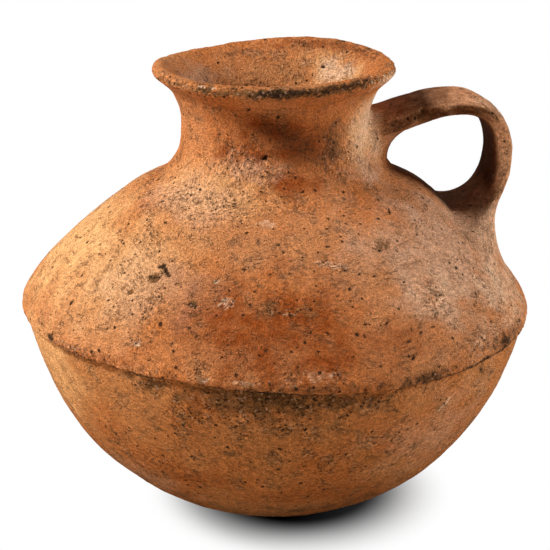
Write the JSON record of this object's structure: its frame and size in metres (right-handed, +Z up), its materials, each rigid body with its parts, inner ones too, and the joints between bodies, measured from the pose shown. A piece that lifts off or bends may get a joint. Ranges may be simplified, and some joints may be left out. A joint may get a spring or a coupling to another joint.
{
  "type": "olla",
  "caption": "Round-bottomed earthenware olla with a carinated body, a waisted neck, a rim turned outward and a strap handle from neck to shoulder, for keeping and pouring water.",
  "frame": {"origin": "middle of the flat resting spot under the pot, on the pot's axis", "axes": "+Z up along the pot's axis, +X towards the handle"},
  "size_m": [0.252, 0.252, 0.2276],
  "materials": {
    "belly_clay": "matte unglazed fired clay, ochre brown, darkened by soot near the seam",
    "shoulder_clay": "matte unglazed fired clay, orange brown with pores and worn patches",
    "inner_clay": "matte unglazed fired clay inside the pot",
    "neck_clay": "matte unglazed fired clay, stained dark under the rim",
    "rim_clay": "rough matte unglazed fired clay, pitted along the lip",
    "handle_clay": "matte unglazed fired clay, sooty with a worn pale crest"
  },
  "bodies": {
    "root": {"base_cup": "belly_clay", "belly_wall": "belly_clay", "shoulder_wall": "shoulder_clay", "carination_coil": "inner_clay", "neck_collar": "neck_clay", "neck_root_coil": "neck_clay", "rim_coil": "rim_clay", "handle_strap": "handle_clay", "upper_handle_luting": "handle_clay", "lower_handle_luting": "handle_clay"}
  },
  "joints": []
}
